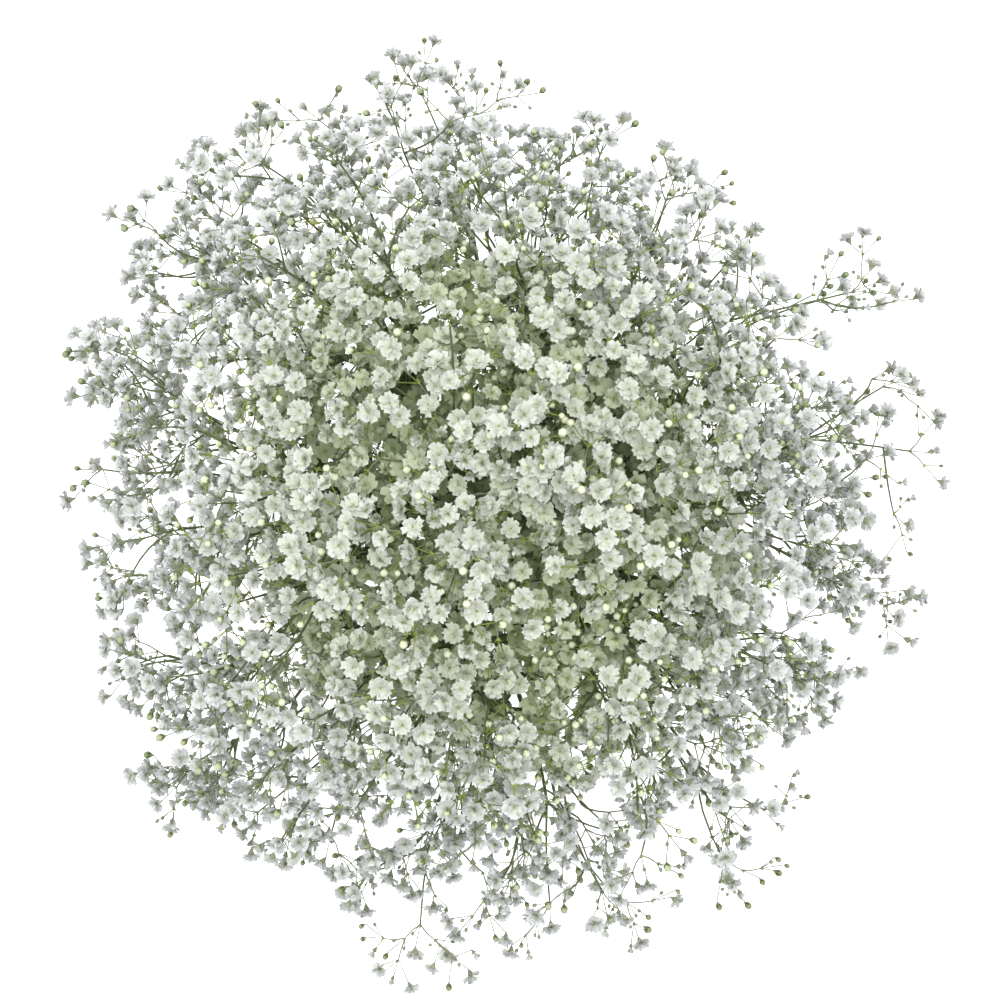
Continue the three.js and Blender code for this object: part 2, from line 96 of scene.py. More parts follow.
def spread(index, step):
    """The fractional part of an evenly spreading sequence."""
    return (0.5 + index * step) % 1


def listed_at(values, azimuth):
    """A value in one direction, smoothly between the sixteen that are listed."""
    at = (azimuth % 360) / REACH_STEP
    low = math.floor(at)
    blend = (1 - math.cos((at - low) * math.pi)) / 2
    before = values[low % len(values)]
    after = values[(low + 1) % len(values)]
    return before + (after - before) * blend


def reach_at(azimuth):
    """How far the head reaches out in one direction."""
    return listed_at(HEAD_REACH, azimuth)


def band_of(ring):
    """The rise of the top and of the bottom of a ring's band: 1 at the head's top, 0 level."""
    return [math.cos(math.radians(ring[edge])) for edge in ("top", "bottom")]


def place_in_head(azimuth, rise, out, reach):
    """A place in one direction that lies a share of the way out to the head's skin."""
    return polar(azimuth, out * math.sqrt(1 - rise * rise) * reach,
                 HEAD_CENTRE.z + out * rise * HEAD_RISE)


def tips_of_stem(ring, azimuth, index):
    """The tips of one stem, spread evenly through its share of the head."""
    half = 180 / ring["count"]
    start, end = azimuth - half, azimuth + half
    top, bottom = band_of(ring)
    made = []
    for number in range(index * ring["tips"], (index + 1) * ring["tips"]):
        inside = end - start - 2 * ring["margin"]
        around = start + ring["margin"] + inside * spread(number, AROUND_STEP)
        rise = top + (bottom - top) * spread(number, RISE_STEP)
        out = ring["innermost"] + (1 - ring["innermost"]) * spread(number, OUT_STEP)
        made.append(place_in_head(around, rise, out, reach_at(around)))
    if ring["name"] == "outer_stem":
        made += [polar(*spray) for spray in LONG_SPRAYS if (spray[0] - start) % 360 < end - start]
    return made


def planned_stem(ring, number, index):
    azimuth = ring["first"] + 360 * number / ring["count"]
    waist_angle = azimuth - ring["swing"]
    waist = polar(waist_angle, ring["waist"], WAIST_HEIGHT)
    slope = polar(waist_angle + 90, ring["lean"], 1)
    name = ring["name"] if ring["count"] == 1 else f"{ring['name']}_{number + 1}"
    return {"name": name, "index": index, "ring": ring, "azimuth": azimuth, "slope": slope,
            "foot": waist - slope * WAIST_HEIGHT, "bend": waist + slope * STRAIGHT_ABOVE_WAIST,
            "tips": tips_of_stem(ring, azimuth, index)}


def unit(vector):
    return vector / np.linalg.norm(vector)


def frame_across(axis):
    """Two directions square to an axis and to each other."""
    helper = (0, 0, 1) if abs(axis[2]) < 0.9 else (1, 0, 0)
    across = unit(np.cross(helper, axis))
    return across, np.cross(axis, across)


def between(across, along, turn):
    """The direction at an angle from the first of two directions towards the second."""
    return across * math.cos(turn) + along * math.sin(turn)


def seeded_draws(seed):
    state = seed
    while True:
        state = state * DRAW_STEP % DRAW_LIMIT
        yield state / DRAW_LIMIT


def divided(members, axis, draws):
    """Shares a branch's tips among its own branches, along their widest spread."""
    across, along = frame_across(axis)
    from_middle = tips[members] - tips[members].mean(axis=0)
    x, y = from_middle @ across, from_middle @ along
    widest = between(across, along, 0.5 * math.atan2(2 * (x @ y), x @ x - y @ y))
    ordered = [members[i] for i in np.argsort(tips[members] @ widest, kind="stable")]
    count = len(members)
    if count >= THREE_WAY_FROM or count == 3:
        first, second = round(count / 3), round(2 * count / 3)
        return [ordered[:first], ordered[first:second], ordered[second:]]
    cut = math.floor(count / 2) if next(draws) < 0.5 else math.ceil(count / 2)
    return [ordered[:cut], ordered[cut:]]


def branching(start, members, fork_at, draws):
    """The growth above a point: where it forks, its tips and its branches."""
    if len(members) == 1:
        return {"at": tips[members[0]], "members": members, "branches": []}
    middle = tips[members].mean(axis=0)
    at = start + (middle - start) * fork_at
    shares = divided(members, unit(middle - start), draws)
    return {"at": at, "members": members,
            "branches": [branching(at, share, FORK_AT, draws) for share in shares]}


def tree_of(stem):
    draws = seeded_draws(SEED + stem["index"])
    return branching(stem["bend"], stem["members"], FIRST_FORK_AT, draws)


def lines_of(start, branch):
    """Every line from fork to fork or to a tip, with the number of its tip, or -1 at a fork."""
    tip = -1 if branch["branches"] else branch["members"][0]
    made = [(start, branch["at"], tip)]
    for child in branch["branches"]:
        made += lines_of(branch["at"], child)
    return made


def moves_away(apart, spacing):
    """The moves that take points out to a spacing, from the vectors that part them."""
    distance = np.linalg.norm(apart, axis=-1)
    short = np.maximum(0, spacing - distance)
    share = EASING_SHARE * short / np.maximum(distance, 1e-9)
    return (apart * share[..., None]).sum(axis=1)


def ease_tips():
    """Moves the tips apart, over a fixed number of rounds, from each other and from branches that
    aren't their own.
    """
    for _ in range(EASING_ROUNDS):
        lines = [line for stem in stems for line in lines_of(stem["bend"], tree_of(stem))]
        start = np.array([line[0] for line in lines])
        run = np.array([line[1] for line in lines]) - start
        own = np.array([line[2] for line in lines])
        from_start = tips[:, None] - start[None]
        along = np.clip((from_start * run).sum(axis=2) / (run * run).sum(axis=1), 0, 1)
        from_lines = from_start - along[..., None] * run
        from_lines[own[own >= 0], np.nonzero(own >= 0)[0]] = (BRANCH_SPACING, 0, 0)
        moves = moves_away(tips[:, None] - tips[None], TIP_SPACING)
        tips[:] += moves + moves_away(from_lines, BRANCH_SPACING)


stems = []
for ring in RINGS:
    for number in range(ring["count"]):
        stems.append(planned_stem(ring, number, len(stems)))
for stem in stems:
    first_tip = sum(len(other["tips"]) for other in stems[:stem["index"]])
    stem["members"] = list(range(first_tip, first_tip + len(stem["tips"])))
tips = np.array([tip for stem in stems for tip in stem["tips"]])
ease_tips()


# ---- The stalks and twigs ----
# Fresh green shoots, stiff and a little waxy, swollen at every joint. They thin out from a 4 mm
# stalk to twigs of half a millimetre, and each length between two forks bends slightly.

STALK_RADIUS = 2.0
STALK_STEP = 12
STALK_JOINTS = [34, 92, 204]
STALK_JOINT_SWELL = 1.16
BETWEEN_STALK_JOINTS = 0.97
STALK_THINS_OVER = 40
STALK_BELOW_GROUND = 4
STRAIGHT_PAST_BEND = 0.45
CURVE_PLACES = (0, 0.25, 0.5, 0.75, 1)
TWIG_RADIUS = 0.48
TAPER_POWER = 0.4
TWIG_BOW = 0.06
STALK_ROUNDNESS = 5
TWIG_ROUNDNESS = 1
FINE_ROUNDNESS = 0


def join(output, socket):
    output.id_data.links.new(output, socket)


def noise_node(nodes, coordinates, scale, detail):
    noise = nodes.new("ShaderNodeTexNoise")
    noise.inputs["Scale"].default_value = scale
    noise.inputs["Detail"].default_value = detail
    join(coordinates, noise.inputs["Vector"])
    return noise.outputs["Fac"]


def ramp_node(nodes, factor, stops):
    """A colour ramp: stops are (place, (red, green, blue)), in the ramp's own linear light."""
    ramp = nodes.new("ShaderNodeValToRGB")
    elements = ramp.color_ramp.elements
    for number, (place, colour) in enumerate(stops):
        element = elements[number] if number < 2 else elements.new(place)
        element.position = place
        element.color = (*colour, 1)
    join(factor, ramp.inputs["Fac"])
    return ramp.outputs["Color"]


def new_material(name, roughness, gloss):
    """A material with its nodes, its one shader and its object coordinates."""
    material = bpy.data.materials.new(name)
    material.use_nodes = True
    nodes = material.node_tree.nodes
    shader = nodes["Principled BSDF"]
    shader.inputs["Roughness"].default_value = roughness
    shader.inputs["Specular IOR Level"].default_value = gloss
    coordinates = nodes.new("ShaderNodeTexCoord").outputs["Object"]
    return material, nodes, shader, coordinates


def add_relief(nodes, shader, coordinates, scale, detail, depth):
    """Fine relief in a surface, of a depth in metres."""
    bump = nodes.new("ShaderNodeBump")
    bump.inputs["Distance"].default_value = depth
    height = noise_node(nodes, coordinates, scale, detail)
    join(height, bump.inputs["Height"])
    join(bump.outputs["Normal"], shader.inputs["Normal"])


def green_material(name, dark, light, roughness):
    """Green skin: patches of two greens a few millimetres across, with a faint grain."""
    material, nodes, shader, coordinates = new_material(name, roughness, gloss=0.3)
    patches = noise_node(nodes, coordinates, scale=260, detail=3)
    colour = ramp_node(nodes, patches, [(0.34, dark), (0.68, light)])
    join(colour, shader.inputs["Base Color"])
    add_relief(nodes, shader, coordinates, scale=2200, detail=2, depth=0.00006)
    return material


GREENS = [
    green_material("stalk_green", (0.06, 0.095, 0.03), (0.15, 0.21, 0.07), 0.5),
    green_material("twig_green", (0.075, 0.1, 0.04), (0.165, 0.2, 0.085), 0.55),
    green_material("thread_green", (0.14, 0.163, 0.112), (0.295, 0.322, 0.222), 0.6),
    green_material("young_green", (0.14, 0.195, 0.035), (0.33, 0.385, 0.085), 0.6),
    green_material("calyx_green", (0.166, 0.192, 0.125), (0.357, 0.382, 0.258), 0.6),
    green_material("cut_pith", (0.42, 0.46, 0.24), (0.62, 0.64, 0.40), 0.8),
]
STALK_GREEN, TWIG_GREEN, THREAD_GREEN, YOUNG_GREEN, CALYX_GREEN, CUT_PITH = range(len(GREENS))


def any_side(axis, chance):
    """A direction square to an axis, at any turn."""
    across, along = frame_across(np.array(axis))
    return Vector(between(across, along, chance.uniform(0, math.tau)))


def add_twig(twigs, start, end, radii, chance, bow=TWIG_BOW, steps=4):
    """Adds a tapering twig that bows by a share of its length; returns its points."""
    run = end - start
    side = any_side(unit(np.array(run)), chance) * run.length * bow
    points = [start.lerp(end, i / steps) + side * math.sin(math.pi * i / steps)
              for i in range(steps + 1)]
    low, high = radii
    twigs.append((points, [low + (high - low) * i / steps for i in range(steps + 1)]))
    return points


def twig_radius(branch):
    """The radius of a branch, from the number of tips that it bears."""
    return TWIG_RADIUS * len(branch["members"]) ** TAPER_POWER


def shape_mesh(shape, name):
    mesh = bpy.data.meshes.new(name)
    shape.to_mesh(mesh)
    shape.free()
    return mesh


def append_mesh(piece, mesh):
    piece.from_mesh(mesh)
    bpy.data.meshes.remove(mesh)


def dress(faces, material, is_smooth):
    for face in faces:
        face.material_index = material
        face.smooth = is_smooth


def add_tubes(piece, lines, roundness, material):
    """Adds a closed round tube along each line, its points and the radius at each."""
    if not lines:
        return
    curve = bpy.data.curves.new("tubes", "CURVE")
    curve.dimensions = "3D"
    curve.bevel_depth = 1
    curve.bevel_resolution = roundness
    curve.resolution_u = 1
    curve.use_fill_caps = True
    for points, radii in lines:
        spline = curve.splines.new("POLY")
        spline.points.add(len(points) - 1)
        for place, point, radius in zip(spline.points, points, radii):
            place.co = (*point, 1)
            place.radius = radius
    holder = bpy.data.objects.new("tubes", curve)
    mesh = bpy.data.meshes.new_from_object(holder)
    bpy.data.objects.remove(holder)
    bpy.data.curves.remove(curve)
    mesh.polygons.foreach_set("material_index", [material] * len(mesh.polygons))
    mesh.polygons.foreach_set("use_smooth", [True] * len(mesh.polygons))
    append_mesh(piece, mesh)


def stalk_line(stem, fork):
    """The stalk's middle line, from just under the ground to its first fork."""
    foot, bend, slope = (Vector(stem[key]) for key in ("foot", "bend", "slope"))
    towards = bend + slope.normalized() * STRAIGHT_PAST_BEND * (bend - fork).length
    steps = round(bend.z / STALK_STEP)
    straight = [foot.lerp(bend, i / steps) for i in range(steps)]
    curved = [bend.lerp(towards, t).lerp(towards.lerp(fork, t), t) for t in CURVE_PLACES]
    return [foot - slope * STALK_BELOW_GROUND, *straight, *curved]


def add_stalk(piece, points, top_radius):
    """The stalk, thinning above the tie, swollen at its joints and cut level with the ground."""
    radii = []
    for point in points:
        above = max(0, point.z - WAIST_HEIGHT - STRAIGHT_ABOVE_WAIST)
        thinned = STALK_RADIUS + (top_radius - STALK_RADIUS) * min(1, above / STALK_THINS_OVER)
        at_joint = min(abs(point.z - joint) for joint in STALK_JOINTS) < STALK_STEP / 2
        radii.append(thinned * (STALK_JOINT_SWELL if at_joint else BETWEEN_STALK_JOINTS))
    stalk = bmesh.new()
    add_tubes(stalk, [(points, radii)], STALK_ROUNDNESS, STALK_GREEN)
    cut = bmesh.ops.bisect_plane(stalk, geom=stalk.verts[:] + stalk.edges[:] + stalk.faces[:],
                                 dist=1e-4, plane_co=(0, 0, 0), plane_no=(0, 0, 1), clear_inner=True)
    rim = [item for item in cut["geom_cut"] if isinstance(item, bmesh.types.BMEdge)]
    dress(bmesh.ops.edgeloop_fill(stalk, edges=rim)["faces"], CUT_PITH, is_smooth=False)
    bmesh.ops.recalc_face_normals(stalk, faces=stalk.faces)
    append_mesh(piece, shape_mesh(stalk, "stalk"))


# ---- The clusters of flowers ----
# A gypsophila twig ends in a flower, and forks below it into two twigs that end in a flower and
# fork again, each time across the last. The first flowers are open while the last are buds. Narrow
# leaves sit in pairs along the stalk and its strong branches, and singly at their forks.

CLUSTER_DEPTH = 11
LONG_SPRAY_DEPTH = 15
BUD_TIP_EVERY = 5
# How full the head is at its rim, from its thinner side to its fuller one.
LEAST_FULL = 0.34
RIM_GAIN = 0.3
RIM_FROM = 0.45
# Open flowers by their order in the cluster, and the share of that where the head is thin.
OPEN_BY_ORDER = [0.97, 0.86, 0.62, 0.4]
OPEN_WHERE_THIN = 0.5
HALF_OPEN_SHARE = 0.4
FLOWER_ROOM = {"open": 3.2, "half": 2.2, "bud": 1.5}
OPEN_SIZES = (0.9, 1.12)
CLOSED_SIZES = (0.6, 0.95)
CLOSED_GAIN = 0.15
NOD = 0.22
FLOWER_STALKS = (6.5, 9)
# How loose clusters are where the head is thin, and how much less where it is full.
LOOSE = 1.5
TIGHTENED = 0.46
YOUNG_BUDS = 0.55
YOUNG_BUD_LEAN = 1.1
YOUNG_BUD_STALKS = (3, 7)
FORKS_BOTH_WAYS = 0.86
FORKS_WHERE_THIN = 0.72
FORK_SPREAD = (34, 58)
FORK_LENGTHS = (5.5, 8)
LAST_FLOWER_FURTHER = 1.5
CROSS_TURN = (60, 120)
FINE_TWIG_RADII = (0.3, 0.24)
TIP_RADIUS = 0.34
BRANCH_TAPER = 0.85
SPRAY_STEP = 13
SPRAYS_AT_FULL = 0.7
SPRAYS_FROM = 40
SPRAY_LENGTHS = (7, 14)
SPRAY_RADII = [0.34, 0.28]
SHOOT_RADII = (0.48, 0.32)
SHOOT_LEAST_RISE = 8
LEAF_FROM_TIPS = 4
PAIRED_LEAF_FROM_TIPS = 6
LEAF_LENGTH = 24
STALK_LEAF_PLACES = (0.2, 0.45, 0.7, 1)
FLOWER_EASING_ROUNDS = 6
DEEP_SHARE = 0.62
DEEP_GROWTH = 1.14
# Side shoots that fill the head: which stems bear them, how many each, how far out they end as a
# share of the head's reach, what share of the stem's own band they spread over, and how strongly
# they follow the fuller and thinner sides of the rim.
SHOOTS = [
    (["centre_stem"], 30, 0.0, 0.8, 1, 0),
    (["centre_stem"], 2, 0.66, 0.97, 0.1, 0),
    (["inner_stem", "outer_stem"], 21, 0.1, 0.6, 1, 0),
    (["inner_stem"], 4, 0.84, 1.0, 1, 0.5),
    (["outer_stem"], 34, 0.8, 1.03, 1, 1),
]
# The head is fuller on one side. Every 22.5 degrees: how far out the shoots round its rim end, and
# the share of them that grow.
RIM_REACH = [164, 168, 142, 145, 142, 139, 166, 162, 157, 156, 173, 156, 160, 142, 132, 136]
RIM_FULL = [0.2, 0.16, 0.0, 0.08, 0.16, 0.5, 0.65, 0.95, 0.7, 1.0, 1.0, 0.42, 0.5, 0.08, 0.0, 0.28]


def outward(point):
    return (point - HEAD_CENTRE).normalized()


def azimuth_of(point):
    return math.degrees(math.atan2(point.y, point.x))


def depth_share(point):
    """How far out a point is: 0 at the middle of the head and 1 at its skin."""
    from_middle = point - HEAD_CENTRE
    across = from_middle.xy.length / reach_at(azimuth_of(point))
    return math.hypot(across, from_middle.z / HEAD_RISE)


def rim_share(point):
    """How near the rim a point is, seen from above: 0 over the head's middle and 1 at its rim."""
    out = point.xy.length / reach_at(azimuth_of(point))
    return min(1, max(0, (out - RIM_FROM) / (1 - RIM_FROM)))


def fullness(point):
    """How densely the head flowers here: 1 over its middle, and least at the rim's thinner side."""
    at_rim = LEAST_FULL + RIM_GAIN * listed_at(RIM_FULL, azimuth_of(point))
    return 1 - (1 - at_rim) * rim_share(point)


def flower_kind(order, full, chance):
    if chance.random() < OPEN_BY_ORDER[order] * (OPEN_WHERE_THIN + (1 - OPEN_WHERE_THIN) * full):
        return "open"
    return "half" if chance.random() < HALF_OPEN_SHARE else "bud"


def add_flower(stem, fork, direction, length, order, full, chance):
    kind = flower_kind(order, full, chance)
    if kind == "open":
        size = chance.uniform(*OPEN_SIZES)
    else:
        size = chance.uniform(*CLOSED_SIZES) + CLOSED_GAIN * full
    stem["flowers"].append({
        "fork": fork, "at": fork + direction * length, "kind": kind,
        "size": size, "shape": chance.random(), "spin": chance.uniform(0, math.tau),
        "nod": Vector([chance.gauss(0, NOD) for _ in range(3)]),
    })


def add_cluster(stem, fork, axis, side, order, last, full, chance):
    """A forking cluster: one flower in the middle, and a twig to each side that forks again."""
    reach = LOOSE - TIGHTENED * full
    stem["joints"].append((fork, axis, side))
    add_flower(stem, fork, axis, chance.uniform(*FLOWER_STALKS) * reach, order, full, chance)
    for _ in range(2):
        if chance.random() < YOUNG_BUDS * (1.5 - full):
            young = (axis + any_side(axis, chance) * YOUNG_BUD_LEAN).normalized()
            bud = fork + young * chance.uniform(*YOUNG_BUD_STALKS) * reach
            stem["young_buds"].append((fork, bud, young))
    for way in (-1, 1):
        if chance.random() > FORKS_BOTH_WAYS * (FORKS_WHERE_THIN + (1 - FORKS_WHERE_THIN) * full):
            continue
        direction = Quaternion(side, way * math.radians(chance.uniform(*FORK_SPREAD))) @ axis
        length = chance.uniform(*FORK_LENGTHS) * reach
        if order == last:
            length += LAST_FLOWER_FURTHER
            add_flower(stem, fork, direction, length, order + 1, full, chance)
            continue
        end = fork + direction * length
        add_twig(stem["fine_twigs"], fork, end, FINE_TWIG_RADII, chance, steps=2)
        next_side = Quaternion(direction, math.radians(chance.uniform(*CROSS_TURN))) @ side
        next_side = (next_side - direction * next_side.dot(direction)).normalized()
        add_cluster(stem, end, direction, next_side, order + 1, last, full, chance)


def grow_tip(stem, start, tip, is_long, radius, chance):
    """The last length of a branch, which ends in a cluster of flowers."""
    stem["tip_count"] += 1
    is_bud = stem["tip_count"] % BUD_TIP_EVERY == 0
    full = fullness(tip)
    axis = (tip - start).normalized()
    facing = axis.lerp(outward(tip), 0.5).normalized()
    fork = tip - facing * (LONG_SPRAY_DEPTH if is_long else CLUSTER_DEPTH)
    points = add_twig(stem["twigs"], start, fork, (radius, TIP_RADIUS), chance)
    # The cluster forks once more on long sprays, and often where the head is full.
    last = 2 if is_long or (not is_bud and chance.random() < (full - 0.35) / 0.5) else 1
    add_cluster(stem, fork, facing, any_side(facing, chance), 0, last, full, chance)
    add_sprays(stem, points, chance)


def add_sprays(stem, points, chance):
    """Small side clusters along a branch, more where the head is full."""
    run = sum((b - a).length for a, b in zip(points, points[1:]))
    for i in range(1, int(run / SPRAY_STEP)):
        at = i * SPRAY_STEP / run * (len(points) - 1)
        low = min(int(at), len(points) - 2)
        joint = points[low].lerp(points[low + 1], at - low)
        full = fullness(joint)
        if (joint - HEAD_CENTRE).length < SPRAYS_FROM or chance.random() > SPRAYS_AT_FULL * full:
            continue
        axis = (points[low + 1] - points[low]).normalized()
        side = any_side(axis, chance)
        direction = (axis + side * 0.9 + outward(joint) * 0.3).normalized()
        fork = joint + direction * chance.uniform(*SPRAY_LENGTHS)
        stem["fine_twigs"].append(([joint, fork], SPRAY_RADII))
        stem["joints"].append((joint, axis, side))
        add_cluster(stem, fork, direction, any_side(direction, chance), 1, 1, full, chance)


def add_shoots(stem, count, nearest, farthest, band, sided, joints, chance):
    """Side shoots that end at one depth of the head, each from the closest joint below it."""
    ring = stem["ring"]
    half = 180 / ring["count"]
    top, bottom = band_of(ring)
    for number in range(count):
        azimuth = stem["azimuth"] + half * (2 * spread(number, AROUND_STEP) - 1)
        rise = top + (bottom - top) * band * spread(number, RISE_STEP)
        out = nearest + (farthest - nearest) * spread(number, OUT_STEP)
        reach = listed_at(RIM_REACH, azimuth) if sided == 1 else reach_at(azimuth)
        end = Vector(place_in_head(azimuth, rise, out, reach))
        below = [joint for joint in joints if (end - joint).dot(outward(end)) > SHOOT_LEAST_RISE]
        is_missing = chance.random() > listed_at(RIM_FULL, azimuth) ** sided
        if is_missing or not below:
            continue
        joint = min(below, key=lambda point: (end - point).length)
        axis = (end - joint).normalized()
        facing = axis.lerp(outward(end), 0.5).normalized()
        add_twig(stem["twigs"], joint, end, SHOOT_RADII, chance, bow=2 * TWIG_BOW)
        stem["joints"].append((joint, axis, any_side(axis, chance)))
        add_cluster(stem, end, facing, any_side(facing, chance), 0, 1, fullness(end), chance)


def in_growth_order(branch, axis):
    """A fork's branches, counter-clockwise round the branch below it."""
    across, along = frame_across(axis)

    def turn(child):
        towards = child["at"] - branch["at"]
        return math.atan2(towards @ along, towards @ across) % math.tau

    return sorted(branch["branches"], key=turn)


def add_leaf_at_fork(stem, branch, axis):
    """A fork of two strong branches bears a leaf on the side that faces outward."""
    if len(branch["branches"]) != 2 or len(branch["members"]) < LEAF_FROM_TIPS:
        return
    first, second = (child["at"] - branch["at"] for child in branch["branches"])
    side = np.cross(first, second)
    away = np.array(outward(Vector(branch["at"])))
    side = side * (1 if side @ away >= 0 else -1)
    side = unit(side - axis * (side @ axis))
    length = LEAF_LENGTH * min(1, len(branch["members"]) / (2 * LEAF_FROM_TIPS))
    direction = Vector(unit(side + 0.4 * away + 0.5 * axis))
    stem["leaves"].append((Vector(branch["at"]), direction, length))


def add_leaf_pairs(stem, points, size, chance):
    """Pairs of narrow leaves along a strong branch, each turned across the last."""
    axis = (points[-1] - points[0]).normalized()
    side = any_side(axis, chance)
    for place in points[1:]:
        for way in (-1, 1):
            direction = (side * way + axis * chance.uniform(0.1, 0.5)).normalized()
            length = size * LEAF_LENGTH * chance.uniform(0.9, 1.4)
            stem["leaves"].append((place, direction, length))
        side = axis.cross(side)


def grow_forks(stem, branch, axis, chance):
    """The branches that leave a fork, and all that grows on them."""
    fork = Vector(branch["at"])
    for child in in_growth_order(branch, axis):
        radius = twig_radius(child)
        end = Vector(child["at"])
        if not child["branches"]:
            is_long = child["members"][0] - stem["members"][0] >= stem["ring"]["tips"]
            grow_tip(stem, fork, end, is_long, radius, chance)
            continue
        points = add_twig(stem["twigs"], fork, end, (radius, radius * BRANCH_TAPER), chance)
        towards = unit(child["at"] - branch["at"])
        stem["big_joints"].append((end, Vector(towards), radius))
        add_sprays(stem, points, chance)
        add_leaf_at_fork(stem, child, towards)
        if len(child["members"]) >= PAIRED_LEAF_FROM_TIPS:
            size = math.sqrt(len(child["members"]) / len(stem["members"]))
            add_leaf_pairs(stem, points, size, chance)
        grow_forks(stem, child, towards, chance)


for stem in stems:
    for kept in ("twigs", "fine_twigs", "joints", "big_joints", "leaves", "flowers", "young_buds"):
        stem[kept] = []
    stem["tip_count"] = stem["index"]
    tree = tree_of(stem)
    fork = Vector(tree["at"])
    bend = Vector(stem["bend"])
    stem["stalk"] = stalk_line(stem, fork)
    stem["top_radius"] = twig_radius(tree)
    chance = random.Random(SEED + stem["index"])
    axis = unit(tree["at"] - np.array(stem["stalk"][-2]))
    stem["big_joints"].append((fork, Vector(axis), stem["top_radius"]))
    leaf_places = [bend.lerp(fork, share) for share in STALK_LEAF_PLACES]
    add_leaf_pairs(stem, [bend, *leaf_places], 1, chance)
    grow_forks(stem, tree, axis, chance)
    joints = [point for points, radii in stem["twigs"] for point in points[1:-1]]
    joints += stem["stalk"][-4:]
    for bearers, *shoots in SHOOTS:
        if stem["ring"]["name"] in bearers:
            add_shoots(stem, *shoots, joints, chance)

# Flowers that overlap push each other aside.
flowers = [flower for stem in stems for flower in stem["flowers"]]
for _ in range(FLOWER_EASING_ROUNDS):
    places = KDTree(len(flowers))
    for number, flower in enumerate(flowers):
        places.insert(flower["at"], number)
    places.balance()
    moves = []
    for flower in flowers:
        room = FLOWER_ROOM[flower["kind"]] * flower["size"]
        move = Vector()
        for place, number, distance in places.find_range(flower["at"], 2 * FLOWER_ROOM["open"]):
            other = flowers[number]
            short = room + FLOWER_ROOM[other["kind"]] * other["size"] - distance
            if distance > 0 and short > 0:
                move += (flower["at"] - place) * (EASING_SHARE * short / distance)
        moves.append(move)
    for flower, move in zip(flowers, moves):
        flower["at"] += move

# A flower faces along its stalk, outward and up. Its painted shade is 0 deep inside the head, 0.5
# over the head's middle and 1 at its rim: petals and buds are painted darker and greener deep inside
# as shade, and petals faintly lilac at the rim as a painted cool shade.
for flower in flowers:
    at = flower["at"]
    depth = depth_share(at)
    towards = (at - flower["fork"]).normalized()
    upward = Vector((0, 0, 0.15 + 0.2 * fullness(at)))
    facing = towards * 0.55 + outward(at) * 0.35 + upward + flower["nod"]
    flower["facing"] = facing.normalized()
    # Painted shade: 0, darkest and greenest, deep inside the head, rising outward and towards the
    # rim.
    flower["painted_shade"] = min(1, max(0, (depth - 0.3) / 0.5)) * (0.5 + 0.5 * rim_share(at))
    flower["tuft"] = flower["kind"]
    if flower["kind"] == "open" and depth < DEEP_SHARE:
        flower["tuft"] = "deep"
        flower["size"] *= DEEP_GROWTH


# ---- The petals ----
# A double flower is a tuft of thin white petals in three rounds, or two where it is shaded deep in
# the head, notched and ruffled at the tip and greenish where they narrow into the calyx. Half-open
# flowers are cones of the same petals, and a bud is a rolled cream tip.

AXIS = Vector((-6.8, 10.1, 0))
MM = 0.001
PETAL_THICKNESS = 0.16
# Each petal's edge as (share of its width, share of its length), from the gap before it.
NOTCHED = [(0, 0.72), (0.2, 0.96), (0.5, 0.89), (0.8, 1.0)]
TWO_LOBES = [(0, 0.7), (0.24, 0.97), (0.76, 1.0)]
ONE_LOBE = [(0, 0.62), (0.5, 1.0)]
# The gap between two petals lies this many degrees lower than they do.
GAP_DROP = 14
# What chance does to the petals: shares of a length, then degrees, and radians for the turns.
PETAL_LENGTHS = (0.86, 1.04)
EDGE_LENGTHS = (0.94, 1.04)
PETAL_RISES = (-13, 13)
EDGE_RISES = (-12, 12)
EDGE_TURNS = (-0.05, 0.05)
# The rounds of each tuft: petals, their edge, length, rise in degrees, and the round's height.
ROUNDS = {
    "open": [(7, NOTCHED, 4.4, 14, 0.0), (6, TWO_LOBES, 3.8, 37, 0.2), (5, ONE_LOBE, 3.1, 62, 0.4)],
    "deep": [(7, TWO_LOBES, 4.3, 16, 0.0), (5, ONE_LOBE, 3.5, 46, 0.3)],
    "half": [(6, TWO_LOBES, 3.9, 58, 0.0), (4, TWO_LOBES, 3.5, 74, 0.2)],
}
SHAPE_COUNTS = {"open": 6, "deep": 6, "half": 3}
BUD_RADIUS = 1.45
BUD_STRETCH = 1.12
BUD_LIFT = 0.35


def map_on_shape(nodes):
    """The map on a petal or a bud, and its two parts: across or round it, and up it."""
    on_shape = nodes.new("ShaderNodeUVMap")
    on_shape.uv_map = "petal"
    parts = nodes.new("ShaderNodeSeparateXYZ")
    join(on_shape.outputs["UV"], parts.inputs["Vector"])
    return on_shape.outputs["UV"], parts.outputs["X"], parts.outputs["Y"]


def painted_shade_ramp(nodes, stops):
    """A colour by a flower's painted shade, from deep inside the head to its rim."""
    painted_shade = nodes.new("ShaderNodeAttribute")
    painted_shade.attribute_name = "painted_shade"
    return ramp_node(nodes, painted_shade.outputs["Fac"], stops)


def multiplied(nodes, first, second):
    """The product of two colours."""
    mix = nodes.new("ShaderNodeMix")
    mix.data_type = "RGBA"
    mix.blend_type = "MULTIPLY"
    mix.inputs["Factor"].default_value = 1
    join(first, mix.inputs["A"])
    join(second, mix.inputs["B"])
    return mix.outputs["Result"]


